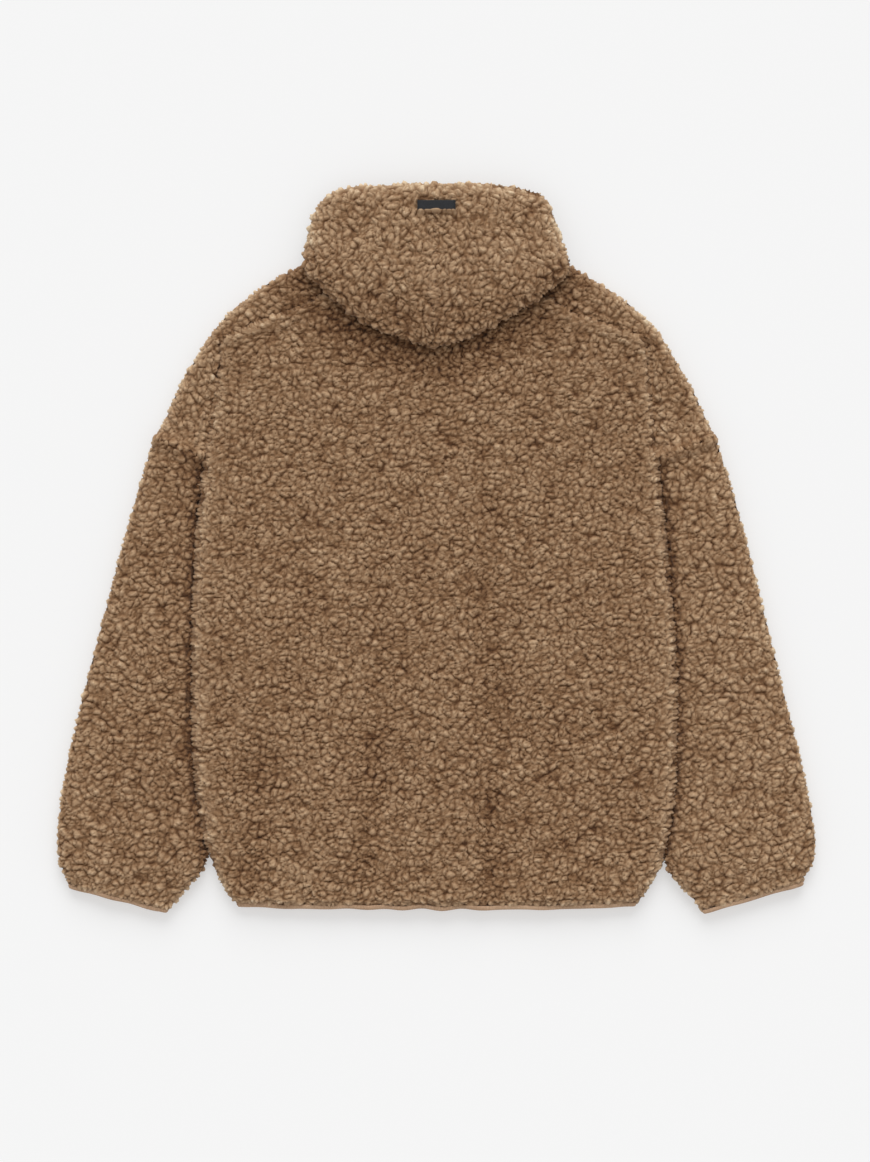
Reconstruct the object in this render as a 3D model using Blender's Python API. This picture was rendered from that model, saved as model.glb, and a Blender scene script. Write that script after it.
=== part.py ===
"""A pile fleece hoodie that lies flat on its front, seen from its back.

+X is the wearer's right, +Y points from the hem to the hood, and the cloth lies on Z = 0. The sleeves are
folded down beside the body, and the hood is dropped on the back. All sizes are in millimetres until a mesh
is made.
"""

import math

import bmesh
import bpy
import numpy as np

MM = 0.001

# The cloth: a knitted backing with curled pile, measured to the tips of the curls.
CLOTH = 9.0
SEAM = 0.5
LAYER_GAP = 0.35
LAYER_TOP = 2.0 * CLOTH + 2.0

# How the edge of a layer rolls over: the steps of the roll as shares of a quarter turn.
ROLL_STEPS = (0.0, 0.33, 0.66, 1.0)
SHARP_ANGLE = 50.0
BODY_ROLL = 13.0
HEM_ROLL = 10.0
SEAM_ROLL = 5.0
SEAM_SINK = 2.2
SIDE_EDGE = 3.0
HEM_EDGE_SHARE = 0.55
FRONT_EDGE = 2.6
FRONT_INSET = 0.6
BODY_MIDDLE = (0.0, -80.0)
BACK_TOP = 21.5
HOOD_COVERS = (150.0, 225.0)

# The body's length and width along which the nets of points are laid out, and how fine they are.
BODY_LENGTH = 610.0
BODY_WIDTH = 500.0
YOKE_COLUMNS = 6
NECK_COLUMNS = 9
ARMHOLE_ROWS = 7
ARMHOLE_SHARE = 0.208
LOWER_ROWS = 14
SLEEVE_SECTIONS = 22
RING_POINTS = 20
LINE_POINTS = 240
HEM_POINTS = 60
FRONT_HEM_SHARE = 0.97

# A flattened tube's section: how full its ends and faces are, and how far its straight part reaches.
END_FULLNESS = 0.75
FACE_FULLNESS = 0.55
STRAIGHT_REACH = 1.12

# The body's side edges, from the armholes to the hem.
BODY_SIDES = (
    # y, left_x, right_x
    (225.0, -232.0, 226.0),
    (182.0, -235.5, 229.5),
    (139.0, -242.0, 232.0),
    (96.0, -248.5, 236.5),
    (40.0, -254.5, 243.0),
    (-12.0, -258.5, 247.5),
    (-77.0, -261.0, 253.5),
    (-141.0, -262.0, 257.5),
    (-206.0, -261.0, 256.5),
    (-260.0, -257.5, 254.5),
    (-300.0, -250.5, 249.5),
    (-334.0, -241.0, 241.5),
    (-358.0, -234.5, 235.0),
    (-372.0, -227.5, 227.5),
    (-380.5, -216.0, 216.0),
)

# The body's upper edge: shoulder seam, neckline, shoulder seam.
NECKLINE = (
    # x, y
    (-232.0, 225.0),
    (-196.0, 241.5),
    (-158.0, 256.0),
    (-106.5, 276.5),
    (-56.0, 269.0),
    (0.0, 265.5),
    (56.0, 269.0),
    (108.5, 276.5),
    (144.0, 254.0),
    (182.0, 242.5),
    (226.0, 225.0),
)
NECK_ENDS = (-106.5, 108.5)
HEM_Y = -383.8
HEM_RISE = 3.3
HEM_CURVE = 4

# The shoulder folds along the outline, from the neck down to the sleeve.
SHOULDER_FOLDS = (
    # y, left_x, right_x
    (306.0, -146.5, 144.0),
    (288.4, -181.0, 173.5),
    (275.4, -199.5, 194.0),
    (262.4, -215.5, 211.0),
    (249.5, -229.5, 225.0),
    (236.5, -240.5, 239.0),
    (210.6, -257.6, 254.3),
    (184.7, -273.8, 270.5),
    (158.8, -285.7, 283.5),
    (132.8, -296.5, 295.4),
    (121.0, -305.0, 301.5),
)

# Each sleeve, a section a row: its outer edge, how far down its inner edge is, how far that lies from the
# body, and how thick the two layers lie there.
SLEEVES = {
    "left": (
        # outer_x, outer_y, inner_y, apart, thick
        (-327.0, 47.5, 28.0, 0.8, 22.0),
        (-352.6, -46.4, -63.7, 0.8, 22.5),
        (-378.5, -145.8, -165.2, 0.8, 22.5),
        (-400.1, -238.7, -258.0, 0.8, 22.5),
        (-406.2, -277.6, -296.0, 1.0, 22.5),
        (-409.6, -315.0, -325.1, 3.5, 22.0),
        (-408.0, -339.0, -347.0, 14.0, 21.5),
        (-403.0, -354.0, -370.0, 38.0, 20.0),
        (-397.0, -360.5, -389.0, 73.0, 18.0),
    ),
    "right": (
        # outer_x, outer_y, inner_y, apart, thick
        (324.5, 47.5, 28.0, 0.8, 22.0),
        (348.5, -46.4, -63.7, 0.8, 22.5),
        (373.0, -145.8, -165.2, 0.8, 22.5),
        (396.0, -238.7, -258.0, 0.8, 22.5),
        (403.8, -277.6, -296.0, 1.0, 22.5),
        (409.6, -315.0, -325.1, 3.0, 22.0),
        (407.8, -338.0, -348.0, 11.0, 21.5),
        (402.5, -352.0, -371.0, 34.0, 20.0),
        (396.0, -358.0, -389.0, 70.0, 18.0),
    ),
}

# The hood's outline, laid on the back.
HOOD_RIM = (
    # x, y
    (-126.0, 373.0),
    (-113.0, 384.0),
    (-96.0, 388.6),
    (-62.0, 391.8),
    (0.0, 393.4),
    (60.0, 392.0),
    (92.0, 387.0),
    (112.0, 380.5),
    (121.0, 371.0),
)
HOOD_SIDES = (
    # y, left_x, right_x
    (373.0, -126.0, 121.0),
    (357.0, -133.0, 127.5),
    (340.0, -137.5, 132.5),
    (322.0, -141.0, 138.0),
    (308.0, -143.0, 142.5),
    (297.0, -140.5, 141.0),
)
HOOD_LOWER = (
    # x, y
    (-140.5, 297.0),
    (-121.5, 277.5),
    (-104.0, 261.0),
    (-87.0, 248.0),
    (-69.5, 238.5),
    (-35.0, 225.5),
    (-6.0, 217.5),
    (17.0, 221.0),
    (51.0, 235.0),
    (86.0, 254.5),
    (120.5, 276.0),
    (141.0, 297.0),
)
HOOD_CREST = 41.0
HOOD_CREST_Y = 292.0
HOOD_RIM_TOP = 20.0
HOOD_LIP_TOP = 27.0
HOOD_LIP = 4.5
HOOD_LIP_SHARE = 0.7
HOOD_LIP_Y = (325.0, 297.0)
HOOD_ROLL = 17.0

# How far the hood falls from its crest to the rim, to the tip and to both sides.
HOOD_TOP_Y = 394.0
HOOD_TIP_Y = 218.0
FALL_TO_RIM = 9.0
FALL_TO_TIP = 6.5
FALL_TO_SIDE = 5.0
HOOD_REACH = 145.0

# The nets of the hood's halves and of its hidden layers.
HALF_WIDTH = 140.0
HALF_LENGTH = 150.0
HALF_COLUMNS = 8
HALF_ROWS = 9
HOOD_SEAM_POINTS = 40
HOOD_SEAM_SINK = 0.8
RIM_STRIDE = 6
SIDE_STRIDE = 12
STEP_POINTS = 60
STEP_SIDE_POINTS = 20
FOLD_EDGE_COLUMNS = (0.0, 0.02, 0.06)
FOLD_COLUMNS = (0.12, 0.88, 15)
FOLD_UPPER_ROWS = (0.0, 0.03, 0.09, 0.2, 0.4, 0.6, 0.8, 0.97)
FOLD_LOWER_ROWS = (0.0, 0.25, 0.5, 0.75, 0.9, 1.0)
THINNEST_FOLD = 1.0

# Where the hood's hidden layers step up over the neckline.
HOOD_STEP = (
    # x, y
    (-137.0, 310.0),
    (-106.0, 283.0),
    (-56.0, 273.5),
    (0.0, 270.0),
    (56.0, 273.5),
    (108.0, 283.0),
    (137.0, 310.0),
)
HOOD_INSET = 5.0
LOWER_INSET_SHARE = 1.3
SLANTED_INSET = 1.25
HOOD_GAP = 0.8

# Short soft folds on the hood, and the ridge of its centre seam near the tip.
# Each fades over this share of its length.
SPOT_SHARE = 0.6
HOOD_FOLDS = (
    # x0, y0, x1, y1, half_width, height
    (-95.0, 292.0, -40.0, 240.0, 15.0, -2.4),
    (-2.0, 292.0, -5.0, 222.0, 7.0, 2.2),
    (45.0, 300.0, 62.0, 252.0, 14.0, -1.6),
    (-110.0, 350.0, -60.0, 330.0, 16.0, -1.5),
    (70.0, 345.0, 118.0, 330.0, 16.0, -1.3),
)

# Folds and gathers of the back: straight soft creases, deep where the height is below zero.
# They fade in and out over these shares of their length, unless they run into the hem.
CREASE_START = (-0.15, 0.35)
CREASE_END = (0.65, 1.15)
AT_HEM = 1.0
BACK_FOLDS = (
    # x0, y0, x1, y1, half_width, height
    (-36.0, -20.0, -57.0, -185.0, 20.0, -2.6),
    (-57.0, -185.0, -75.0, -384.0, 17.0, -4.2),
    (59.0, -70.0, 55.0, -384.0, 17.0, -3.4),
    (12.0, -130.0, 18.0, -384.0, 19.0, 1.8),
    (-186.0, -222.0, -184.0, -318.0, 27.0, -3.0),
    (-116.0, -255.0, -117.0, -384.0, 13.0, 2.2),
    (-143.0, -305.0, -142.0, -384.0, 9.0, -2.8),
    (-168.0, -322.0, -166.0, -384.0, 10.0, 1.6),
    (-204.0, -318.0, -198.0, -384.0, 10.0, -2.4),
    (-96.0, -340.0, -95.0, -384.0, 8.0, -1.5),
    (-20.0, -330.0, -26.0, -384.0, 9.0, -1.6),
    (92.0, -318.0, 94.0, -384.0, 9.0, -1.8),
    (131.0, -240.0, 133.0, -384.0, 18.0, 2.2),
    (176.0, -270.0, 183.0, -384.0, 12.0, -2.8),
    (208.0, -330.0, 205.0, -384.0, 9.0, 1.2),
    (-128.0, 170.0, -205.0, 60.0, 30.0, -1.6),
    (110.0, 165.0, 190.0, 40.0, 30.0, -1.5),
)

# Creases across the sleeves, each at a share of the length and reaching from the inner edge outward.
# They slant a little, and fade over these shares of the width before and after their reach.
FOLD_SLANT = 0.04
FOLD_FADE = (0.3, 0.1)
SLEEVE_FLAT = (0.02, 0.2)
SLEEVE_FOLDS = (
    # along, half_width, height, reach
    (0.045, 0.018, 1.2, 1.0),
    (0.33, 0.030, -1.4, 0.6),
    (0.58, 0.035, -1.6, 0.7),
    (0.80, 0.028, -1.8, 0.9),
)

# The shoulder's section: how far along each leg its points are, and at which turns round the fold,
# in degrees.
LEG_SHARES = (0.0, 0.3, 0.65, 1.0)
FOLD_TURNS = (60.0, 30.0, 0.0, -30.0, -60.0)
FOLD_SLIT = 1.0
SHOULDER_GAP = 1.6 * SEAM
CORNER_COLUMNS = (1.0, 2.0)
ARMHOLE_SINK = 6.0
ARMHOLE_ROLL = 11.0

# Elastic bindings at the hem and the sleeve ends.
BINDING_DEPTH = 4.7
BINDING_SLIT = 1.6
BINDING_STEPS = (
    # share of the depth, how much narrower
    (0.0, 0.6),
    (0.5, 0.0),
    (1.0, 1.6),
)
BINDING_TAPER = 0.6
BINDING_POINTS = 40
BINDING_CURVE = 4
HEM_THICK = 17.0
CUFF_THICK = 16.0

# The woven tab near the rim of the hood.
TAB_WIDTH = 41.0
TAB_Y = (363.5, 374.0)
TAB_THICK = 1.2
TAB_LIFT = 0.6
TAB_COLUMNS = 9
TAB_ROWS = 4

BROWN_PILE = (0.235, 0.135, 0.074)
BROWN_PILE_DARK = (0.205, 0.115, 0.062)
TAN_BINDING = (0.34, 0.21, 0.12)
CHARCOAL_TAB = (0.042, 0.046, 0.054)
PILE_ROUGHNESS = 0.95
BINDING_ROUGHNESS = 0.8
TAB_ROUGHNESS = 0.7


def line_through(rows, count):
    """Evenly spaced points on a smooth line through the rows, whose first two columns are a place."""
    rows = np.array(rows, float)
    steps = np.linalg.norm(np.diff(rows[:, :2], axis=0), axis=1)
    at = np.concatenate([[0.0], np.cumsum(steps)])
    slopes = np.gradient(rows, at, axis=0)
    t = np.linspace(0.0, at[-1], count)
    k = np.clip(np.searchsorted(at, t, side="right") - 1, 0, len(steps) - 1)
    span = steps[k][:, None]
    w = (t[:, None] - at[k][:, None]) / span
    start = (2 * w**3 - 3 * w**2 + 1) * rows[k] + (w**3 - 2 * w**2 + w) * span * slopes[k]
    end = (3 * w**2 - 2 * w**3) * rows[k + 1] + (w**3 - w**2) * span * slopes[k + 1]
    return start + end


def dense(rows):
    """A line through the rows with many points, for reading places off it."""
    return line_through(rows, LINE_POINTS)


def along(line, shares):
    """Points at shares of a dense line's length."""
    steps = np.linalg.norm(np.diff(line, axis=0), axis=1)
    at = np.concatenate([[0.0], np.cumsum(steps)])
    at = at / at[-1]
    return np.stack([np.interp(shares, at, line[:, k]) for k in range(line.shape[1])], axis=1)


def side_lines(rows):
    """The left and the right line of a table with y, left_x and right_x."""
    left = dense([(left_x, y) for y, left_x, _ in rows])
    right = dense([(right_x, y) for y, _, right_x in rows])
    return left, right


def smoothstep(x, low, high):
    t = np.clip((x - low) / (high - low), 0.0, 1.0)
    return t * t * (3.0 - 2.0 * t)


def patch(upper, lower, left, right, across, down):
    """A net of places between four lines, blended as a Coons patch. Rows run down, columns across."""
    top = along(upper, across)
    bottom = along(lower, across)
    west = along(left, down)
    east = along(right, down)
    u = np.array(across)[None, :, None]
    v = np.array(down)[:, None, None]
    ruled_down = (1 - v) * top[None] + v * bottom[None]
    ruled_across = (1 - u) * west[:, None] + u * east[:, None]
    corners = (1 - v) * ((1 - u) * top[0] + u * top[-1]) + v * ((1 - u) * bottom[0] + u * bottom[-1])
    return ruled_down + ruled_across - corners


def beside_line(x, y, x0, y0, x1, y1):
    """How far each point lies along a line and beside it, and the line's length."""
    length = math.hypot(x1 - x0, y1 - y0)
    ax, ay = (x1 - x0) / length, (y1 - y0) / length
    way = (x - x0) * ax + (y - y0) * ay
    aside = (x - x0) * ay - (y - y0) * ax
    return way, aside, length


def crease(x, y, row):
    """The height that one straight fold adds, fading out at its upper end and to both sides."""
    x0, y0, x1, y1, half_width, height = row
    way, aside, length = beside_line(x, y, x0, y0, x1, y1)
    head = smoothstep(way, CREASE_START[0] * length, CREASE_START[1] * length)
    tail = 1.0
    if y1 > HEM_Y + AT_HEM:
        tail = 1.0 - smoothstep(way, CREASE_END[0] * length, CREASE_END[1] * length)
    return height * np.exp(-((aside / half_width) ** 2)) * head * tail


def back_height(x, y):
    """The upper face of the back, lower and plain under the hood."""
    z = BACK_TOP + sum(crease(x, y, row) for row in BACK_FOLDS)
    under_hood = smoothstep(y, *HOOD_COVERS)
    return z * (1 - under_hood) + LAYER_TOP * under_hood


def roll(distance, radius, edge_z, inner_z):
    """A quarter-round edge: edge_z at no distance, inner_z from the radius on."""
    share = np.clip(distance / radius, 0.0, 1.0)
    return edge_z + (inner_z - edge_z) * np.sqrt(1.0 - (1.0 - share) ** 2)


def to_outline(points, outline):
    """How far each point of a net lies from a closed outline."""
    nearest = np.full(points.shape[:-1], np.inf)
    for start, end in zip(outline, np.roll(outline, -1, axis=0)):
        way = end - start
        length = max(float(way @ way), 1e-9)
        share = np.clip(((points - start) @ way) / length, 0.0, 1.0)
        foot = start + share[..., None] * way
        nearest = np.minimum(nearest, np.linalg.norm(points - foot, axis=-1))
    return nearest


def with_heights(places, heights):
    return np.concatenate([places, np.asarray(heights)[..., None]], axis=-1)


def material(name, colour, roughness):
    made = bpy.data.materials.new(name)
    made.use_nodes = True
    shader = made.node_tree.nodes["Principled BSDF"]
    shader.inputs["Base Color"].default_value = (*colour, 1.0)
    shader.inputs["Roughness"].default_value = roughness
    shader.inputs["Metallic"].default_value = 0.0
    return made


def wall(name, outer, inner, finish, ring=False):
    """A cloth wall between two nets of points, closed round its edges. In a ring the columns join up."""
    bm = bmesh.new()
    rows, columns = outer.shape[:2]
    faces = []
    nets = [[[bm.verts.new(point * MM) for point in row] for row in net] for net in (outer, inner)]
    steps = columns if ring else columns - 1
    for net in nets:
        for r in range(rows - 1):
            for c in range(steps):
                n = (c + 1) % columns
                faces.append((net[r][c], net[r][n], net[r + 1][n], net[r + 1][c]))
    over, under = nets
    for r in (0, rows - 1):
        for c in range(steps):
            n = (c + 1) % columns
            faces.append((over[r][c], over[r][n], under[r][n], under[r][c]))
    if not ring:
        for c in (0, columns - 1):
            for r in range(rows - 1):
                faces.append((over[r][c], over[r + 1][c], under[r + 1][c], under[r][c]))
    for corners in faces:
        bm.faces.new(corners)
    bmesh.ops.recalc_face_normals(bm, faces=bm.faces)
    mesh = bpy.data.meshes.new(name)
    bm.to_mesh(mesh)
    bm.free()
    mesh.shade_smooth()
    mesh.set_sharp_from_angle(angle=math.radians(SHARP_ANGLE))
    mesh.materials.append(finish)
    made = bpy.data.objects.new(name, mesh)
    bpy.context.collection.objects.link(made)
    return made


def flat_tube(centre, across, up, width, thick, hole, count):
    """Outer and inner ring of a flattened tube's section. The cloth's thickness, hole, sets the slit."""
    rings = []
    for inset in (0.0, hole):
        half_wide = width / 2 - inset
        half_high = max(thick / 2 - inset, 0.5 * BINDING_SLIT)
        straight = max(half_wide - half_high, 0.0)
        ring = []
        for k in range(count):
            turn = 2 * math.pi * k / count
            c, s = math.cos(turn), math.sin(turn)
            rounded = math.copysign(abs(c) ** END_FULLNESS, c) * half_high
            x = rounded + straight * math.copysign(min(1.0, abs(c) * STRAIGHT_REACH), c)
            z = math.copysign(abs(s) ** FACE_FULLNESS, s) * half_high
            ring.append(centre + across * x + up * z)
        rings.append(np.array(ring))
    return rings


def rim_shares(roll_length, whole, steps=ROLL_STEPS):
    """Shares of a whole length at the steps of a rolled edge."""
    return [roll_length * (1.0 - math.cos(step * math.pi / 2)) / whole for step in steps]


def body_net(columns, rows):
    left, right = side_lines(BODY_SIDES)
    upper = dense(NECKLINE)
    half = (BODY_SIDES[-1][2] - BODY_SIDES[-1][1]) / 2
    hem_x = np.linspace(BODY_SIDES[-1][1], BODY_SIDES[-1][2], HEM_POINTS)
    hem = np.stack([hem_x, HEM_Y + HEM_RISE * (np.abs(hem_x) / half) ** HEM_CURVE], axis=1)
    return patch(upper, hem, left, right, columns, rows)


def neck_shares():
    """How far along the body's upper edge the two ends of the neckline are."""
    line = dense(NECKLINE)
    at = np.concatenate([[0.0], np.cumsum(np.linalg.norm(np.diff(line, axis=0), axis=1))])
    return [float(np.interp(x, line[:, 0], at / at[-1])) for x in NECK_ENDS]


def body_shares():
    """Columns across the body and rows down it, close together where the edge rolls."""
    edge = rim_shares(BODY_ROLL, BODY_WIDTH)
    left_neck, right_neck = neck_shares()
    columns = edge[:-1]
    columns += list(np.linspace(edge[-1], left_neck, YOKE_COLUMNS))[:-1]
    columns += list(np.linspace(left_neck, right_neck, NECK_COLUMNS))[:-1]
    columns += list(np.linspace(right_neck, 1 - edge[-1], YOKE_COLUMNS))
    columns += [1 - share for share in reversed(edge[:-1])]
    seam = rim_shares(SEAM_ROLL, BODY_LENGTH, (0.0, 1.0))
    yoke = list(np.linspace(seam[-1], ARMHOLE_SHARE, ARMHOLE_ROWS))
    hem = rim_shares(HEM_ROLL, BODY_LENGTH)
    lower = list(np.linspace(ARMHOLE_SHARE, 1 - hem[-1], LOWER_ROWS + 1))
    rows = seam[:-1] + yoke + lower[1:] + [1 - share for share in reversed(hem[:-1])]
    return columns, rows


def body_panels(pile):
    """The back over the front, with the same outline and a gap between them."""
    columns, rows = body_shares()
    net = body_net(columns, rows)
    u = np.array(columns)[None, :]
    v = np.array(rows)[:, None]
    to_side = np.minimum(u, 1 - u) * BODY_WIDTH + 0 * v
    to_hem = (1 - v) * BODY_LENGTH + 0 * u
    to_seam = v * BODY_LENGTH + 0 * u
    floor = CLOTH + LAYER_GAP
    height = back_height(net[..., 0], net[..., 1])
    top = roll(to_side, BODY_ROLL, floor + SIDE_EDGE, height)
    top = floor + (top - floor) * roll(to_hem, HEM_ROLL, HEM_EDGE_SHARE, 1.0)
    inside = to_side >= BODY_ROLL - 1e-6
    top = top - SEAM_SINK * (1 - np.clip(to_seam / SEAM_ROLL, 0, 1)) * inside
    under = np.maximum(top - CLOTH, floor)
    wall("back", with_heights(net, top), with_heights(net, under), pile)

    ends = [k for k, share in enumerate(rows) if share <= ARMHOLE_SHARE or share > FRONT_HEM_SHARE]
    keep = sorted({*ends, *range(0, len(rows), 2)})
    to_edge = np.minimum(to_side, to_hem)[keep]
    from_middle = net[keep] - np.array(BODY_MIDDLE)
    pull = FRONT_INSET * np.clip(1 - to_edge / BODY_ROLL, 0, 1)[..., None]
    places = net[keep] - from_middle / np.linalg.norm(from_middle, axis=-1, keepdims=True) * pull
    upper = np.full(to_edge.shape, CLOTH)
    lower = roll(to_edge, BODY_ROLL, FRONT_EDGE, 0.0)
    wall("front", with_heights(places, upper), with_heights(places, lower), pile)
    return net


def shoulder(side, net, pile):
    """The panel that folds over the shoulder, from the neck to the sleeve, joined to front and back."""
    columns, rows = body_shares()
    left_neck, right_neck = neck_shares()
    to_neck = [k for k, share in enumerate(columns) if share <= left_neck + 1e-6]
    if side == "right":
        to_neck = [k for k, share in enumerate(columns) if share >= right_neck - 1e-6][::-1]
    down = [k for k, share in enumerate(rows) if 0 < share <= ARMHOLE_SHARE + 1e-6]
    edge_column = 0 if side == "left" else -1
    seam = np.array([net[0, k] for k in reversed(to_neck)] + [net[k, edge_column] for k in down])
    left, right = side_lines(SHOULDER_FOLDS)
    fold = left if side == "left" else right
    steps = np.concatenate([[0.0], np.cumsum(np.linalg.norm(np.diff(seam, axis=0), axis=1))])
    shares = steps / steps[-1]
    fold = along(fold, shares)
    at_corner = len(to_neck) - 1
    outward = fold - seam
    outward /= np.linalg.norm(outward, axis=1, keepdims=True)
    seam = seam + outward * SHOULDER_GAP
    outer, inner = [], []
    for k, (edge, root) in enumerate(zip(fold, seam)):
        past = smoothstep(float(k), at_corner - CORNER_COLUMNS[0], at_corner + CORNER_COLUMNS[1])
        sink = SEAM_SINK + (ARMHOLE_SINK - SEAM_SINK) * past
        soft = SEAM_ROLL + (ARMHOLE_ROLL - SEAM_ROLL) * past
        outer.append(section_over(edge, root, sink, soft, 0.0))
        inner.append(section_over(edge, root, sink, soft, CLOTH))
    wall(f"shoulder_{side}", np.array(outer), np.array(inner), pile)
    return fold[-1], seam[-1]


def section_over(edge, root, sink, soft, inset):
    """Points over a folded layer, from the seam on top round the fold to the seam below."""
    width = np.linalg.norm(edge - root)
    way = (edge - root) / width
    half = LAYER_TOP / 2
    turn_radius = max(half - inset, FOLD_SLIT / 2)
    reach = width - half
    points = []
    for share in LEG_SHARES:
        out = reach * share
        z = half + turn_radius - sink * (1 - roll(out, soft, 0.0, 1.0))
        points.append((*(root + way * out), max(z, half + FOLD_SLIT / 2)))
    for turn in np.radians(FOLD_TURNS):
        out = reach + turn_radius * math.cos(turn)
        points.append((*(root + way * out), half + turn_radius * math.sin(turn)))
    for share in reversed(LEG_SHARES):
        points.append((*(root + way * reach * share), half - turn_radius))
    return points


def sleeve(side, shoulder_end, pile):
    """A flattened tube from the end of the shoulder to the cuff, gathered where it meets its binding."""
    sign = -1.0 if side == "left" else 1.0
    left, right = side_lines(BODY_SIDES)
    body_edge = left if side == "left" else right
    sections = []
    for outer_x, outer_y, inner_y, apart, thick in SLEEVES[side]:
        edge_x = float(np.interp(-inner_y, -body_edge[:, 1], body_edge[:, 0]))
        inner_x = edge_x + sign * apart
        sections.append((outer_x, outer_y, inner_x, inner_y, thick))
    edge, root = shoulder_end
    way = (edge - root) / np.linalg.norm(edge - root)
    down = np.array([way[1], -way[0]]) * sign * SEAM
    sections.insert(0, (*(edge + down), *(root + down), LAYER_TOP))
    sections = line_through(sections, SLEEVE_SECTIONS)
    up = np.array([0.0, 0.0, 1.0])
    outer_rings, inner_rings = [], []
    for k, (outer_x, outer_y, inner_x, inner_y, thick) in enumerate(sections):
        outer = np.array([outer_x, outer_y, 0.0])
        inner = np.array([inner_x, inner_y, 0.0])
        width = float(np.linalg.norm(outer - inner))
        across = (outer - inner) / width
        centre = (outer + inner) / 2 + up * thick / 2
        rings = flat_tube(centre, across, up, width, thick, CLOTH, RING_POINTS)
        share = k / (SLEEVE_SECTIONS - 1)
        for ring in rings:
            for point in ring:
                if point[2] > thick / 2:
                    out = float((point - inner) @ across) / width
                    point[2] += sleeve_fold(share, out) * smoothstep(min(out, 1 - out), *SLEEVE_FLAT)
        outer_rings.append(rings[0])
        inner_rings.append(rings[1])
    wall(f"sleeve_{side}", np.array(outer_rings), np.array(inner_rings), pile, ring=True)
    last = sections[-1]
    return np.array([last[0], last[1]]), np.array([last[2], last[3]])


def sleeve_fold(share, out):
    """The height that the creases add at a share of the sleeve's length, out from its inner edge."""
    z = 0.0
    for where, half_width, height, reach in SLEEVE_FOLDS:
        across = where + FOLD_SLANT * (out - 0.5)
        fade = 1 - smoothstep(out, reach - FOLD_FADE[0], reach + FOLD_FADE[1])
        z += height * math.exp(-(((share - across) / half_width) ** 2)) * fade
    return z


def bound_end(name, start, end, outward, thick, finish, bow=0.0):
    """A bound opening: a flattened loop as deep as the binding, along the line from start to end."""
    up = np.array([0.0, 0.0, 1.0])
    way = end - start
    width = float(np.linalg.norm(way))
    across = np.array([*(way / width), 0.0])
    out = np.array([*outward, 0.0])
    outer_rings, inner_rings = [], []
    for step, shrink in BINDING_STEPS:
        centre = np.array([*((start + end) / 2), thick / 2]) + out * (SEAM + step * BINDING_DEPTH)
        high = thick - BINDING_TAPER * shrink
        hole = thick / 2 - BINDING_SLIT / 2
        outer, inner = flat_tube(centre, across, up, width - 2 * shrink, high, hole, BINDING_POINTS)
        for ring in (outer, inner):
            share = ((ring - centre) @ across) / (width / 2)
            ring += out[None] * (bow * (1 - np.abs(share) ** BINDING_CURVE))[:, None]
            ring[:, 2] = np.maximum(ring[:, 2], 0.0)
        outer_rings.append(outer)
        inner_rings.append(inner)
    wall(name, np.array(outer_rings), np.array(inner_rings), finish, ring=True)


def hood_outline():
    left, right = side_lines(HOOD_SIDES)
    rim = dense(HOOD_RIM)
    lower = dense(HOOD_LOWER)
    return np.concatenate([
        rim[::RIM_STRIDE], right[::SIDE_STRIDE], lower[::-1][::RIM_STRIDE], left[::-1][::SIDE_STRIDE]
    ])


def hood_height(places):
    """The hood's upper face: a crest across it, rolled down to thin lips all round."""
    outline = hood_outline()
    inward = to_outline(places, outline)
    x, y = places[..., 0], places[..., 1]
    above = smoothstep(y, HOOD_CREST_Y, HOOD_TOP_Y)
    below = smoothstep(-y, -HOOD_CREST_Y, -HOOD_TIP_Y)
    crest = HOOD_CREST - FALL_TO_RIM * above - FALL_TO_TIP * below
    crest = crest - FALL_TO_SIDE * (np.abs(x) / HOOD_REACH) ** 2
    for row in HOOD_FOLDS:
        crest = crest + crease_spot(x, y, row)
    lip = HOOD_RIM_TOP + (HOOD_LIP_TOP - HOOD_RIM_TOP) * smoothstep(-y, -HOOD_LIP_Y[0], -HOOD_LIP_Y[1])
    top = roll(inward, HOOD_ROLL, lip, crest)
    thick = HOOD_LIP + (CLOTH - HOOD_LIP) * smoothstep(inward, 0.0, HOOD_LIP_SHARE * HOOD_ROLL)
    return top, top - thick


def crease_spot(x, y, row):
    """The height of a short fold on the hood, fading out at both ends."""
    x0, y0, x1, y1, half_width, height = row
    way, aside, length = beside_line(x, y, x0, y0, x1, y1)
    fade = np.exp(-(((way - length / 2) / (SPOT_SHARE * length)) ** 2))
    return height * np.exp(-((aside / half_width) ** 2)) * fade


def hood_half(side, pile):
    """One outer half of the hood, from its side edge to the centre seam."""
    left, right = side_lines(HOOD_SIDES)
    rim = dense(HOOD_RIM)
    lower = dense(HOOD_LOWER)
    tip = int(np.argmin(lower[:, 1]))
    middle = int(np.argmin(np.abs(rim[:, 0])))
    seam = np.linspace(rim[middle], lower[tip], HOOD_SEAM_POINTS)
    edge = rim_shares(HOOD_ROLL, HALF_WIDTH)
    across = edge[:-1] + list(np.linspace(edge[-1], 1.0, HALF_COLUMNS))
    rows = rim_shares(HOOD_ROLL, HALF_LENGTH)
    middle_rows = list(np.linspace(rows[-1], 1 - rows[-1], HALF_ROWS))
    down = rows[:-1] + middle_rows + [1 - r for r in reversed(rows[:-1])]
    if side == "left":
        net = patch(rim[: middle + 1], lower[: tip + 1], left, seam, across, down)
    else:
        across = [1 - share for share in reversed(across)]
        net = patch(rim[middle:], lower[tip:], seam, right, across, down)
    top, under = hood_height(net)
    net = net.copy()
    seam_side = -1 if side == "left" else 0
    net[:, seam_side, 0] += (-SEAM if side == "left" else SEAM) / 2
    top[:, seam_side] -= HOOD_SEAM_SINK
    wall(f"hood_{side}", with_heights(net, top), with_heights(net, under), pile)


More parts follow.
